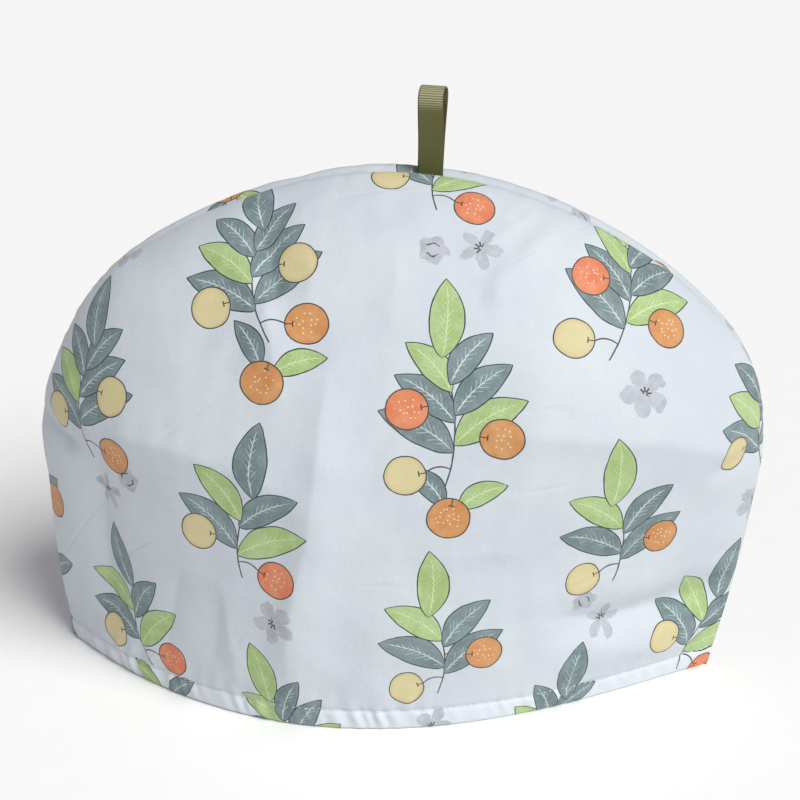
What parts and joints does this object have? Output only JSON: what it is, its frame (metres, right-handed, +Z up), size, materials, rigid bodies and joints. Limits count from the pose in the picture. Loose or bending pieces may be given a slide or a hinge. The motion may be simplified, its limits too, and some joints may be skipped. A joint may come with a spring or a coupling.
{
  "type": "tea cosy",
  "caption": "Padded half-dome tea cosy of printed cotton, open below, with a curved rim seam, a turned-up hem and a ribbon hanging loop.",
  "frame": {"origin": "on the surface that the hem stands on, under the middle of the footprint", "axes": "+X to the right along the rim seam, +Y from the front panel to the back panel, +Z up"},
  "size_m": [0.364, 0.1678, 0.3039],
  "materials": {
    "printed_cotton": "matt plain-weave cotton, white with a printed sprig",
    "olive_ribbon": "ribbed grosgrain with a soft sheen"
  },
  "bodies": {
    "root": {"front_panel": "printed_cotton", "back_panel": "printed_cotton", "hanging_loop": "olive_ribbon"}
  },
  "joints": []
}
